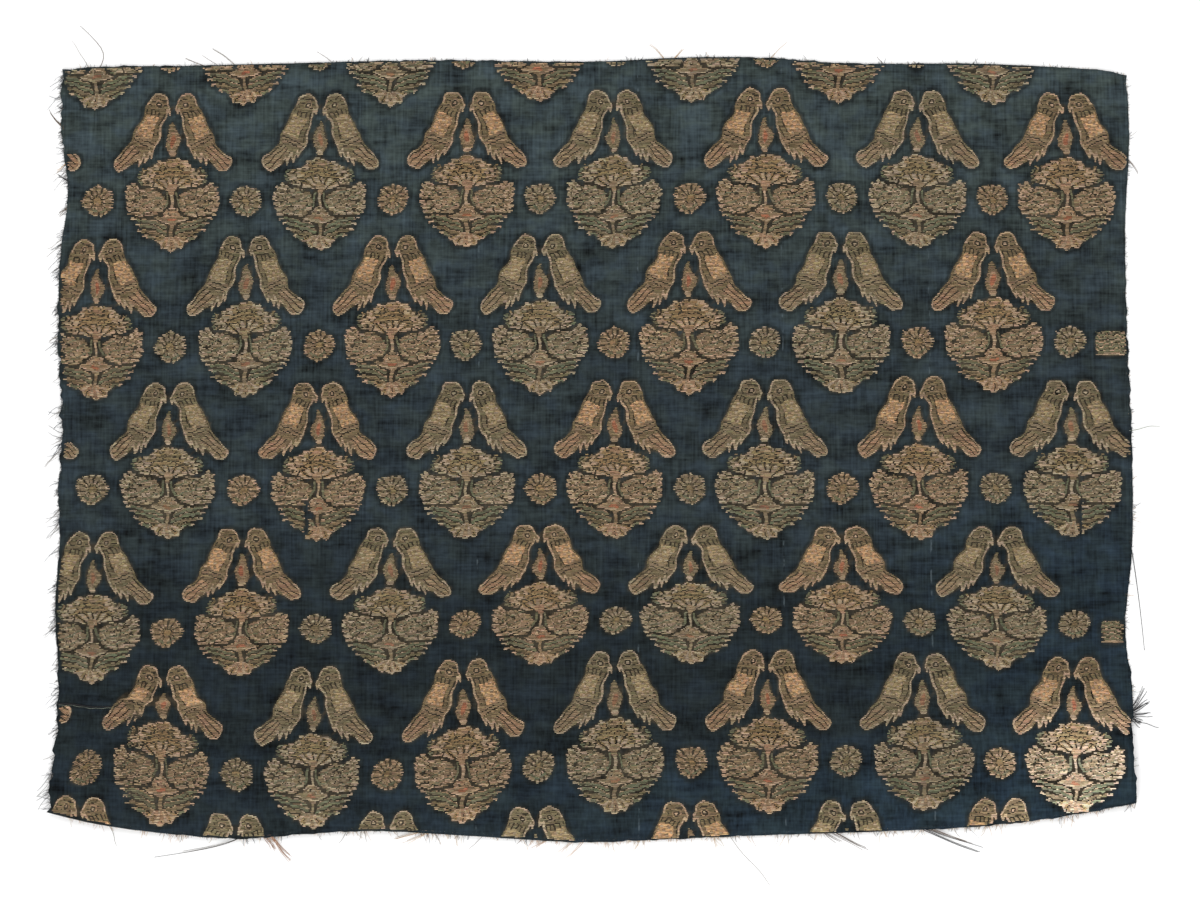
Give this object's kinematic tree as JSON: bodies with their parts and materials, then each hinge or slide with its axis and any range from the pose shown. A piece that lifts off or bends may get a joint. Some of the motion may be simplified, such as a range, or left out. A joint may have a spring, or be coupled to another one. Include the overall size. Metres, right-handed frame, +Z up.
{
  "type": "brocade panel",
  "caption": "Cut length of figured silk brocade with paired birds over flower roundels on a navy ground, lying flat with frayed edges.",
  "frame": {"origin": "centre of the panel's bounding box with its loose threads, on the surface it lies on", "axes": "+X along the weft, to the right of the cloth seen face up; +Y up the warp, towards the birds' heads; +Z up, out of the face"},
  "size_m": [0.5822, 0.4493, 0.0062],
  "materials": {
    "navy_silk": "navy silk ground with fine weft ribs, brocaded in beige, olive and rust floats, soft sheen",
    "loose_silk": "loose silk ends, navy, tan and dusty pink"
  },
  "bodies": {
    "root": {"panel": "navy_silk", "frayed_top": "loose_silk", "frayed_bottom": "loose_silk", "frayed_left": "loose_silk", "frayed_right": "loose_silk"}
  },
  "joints": []
}
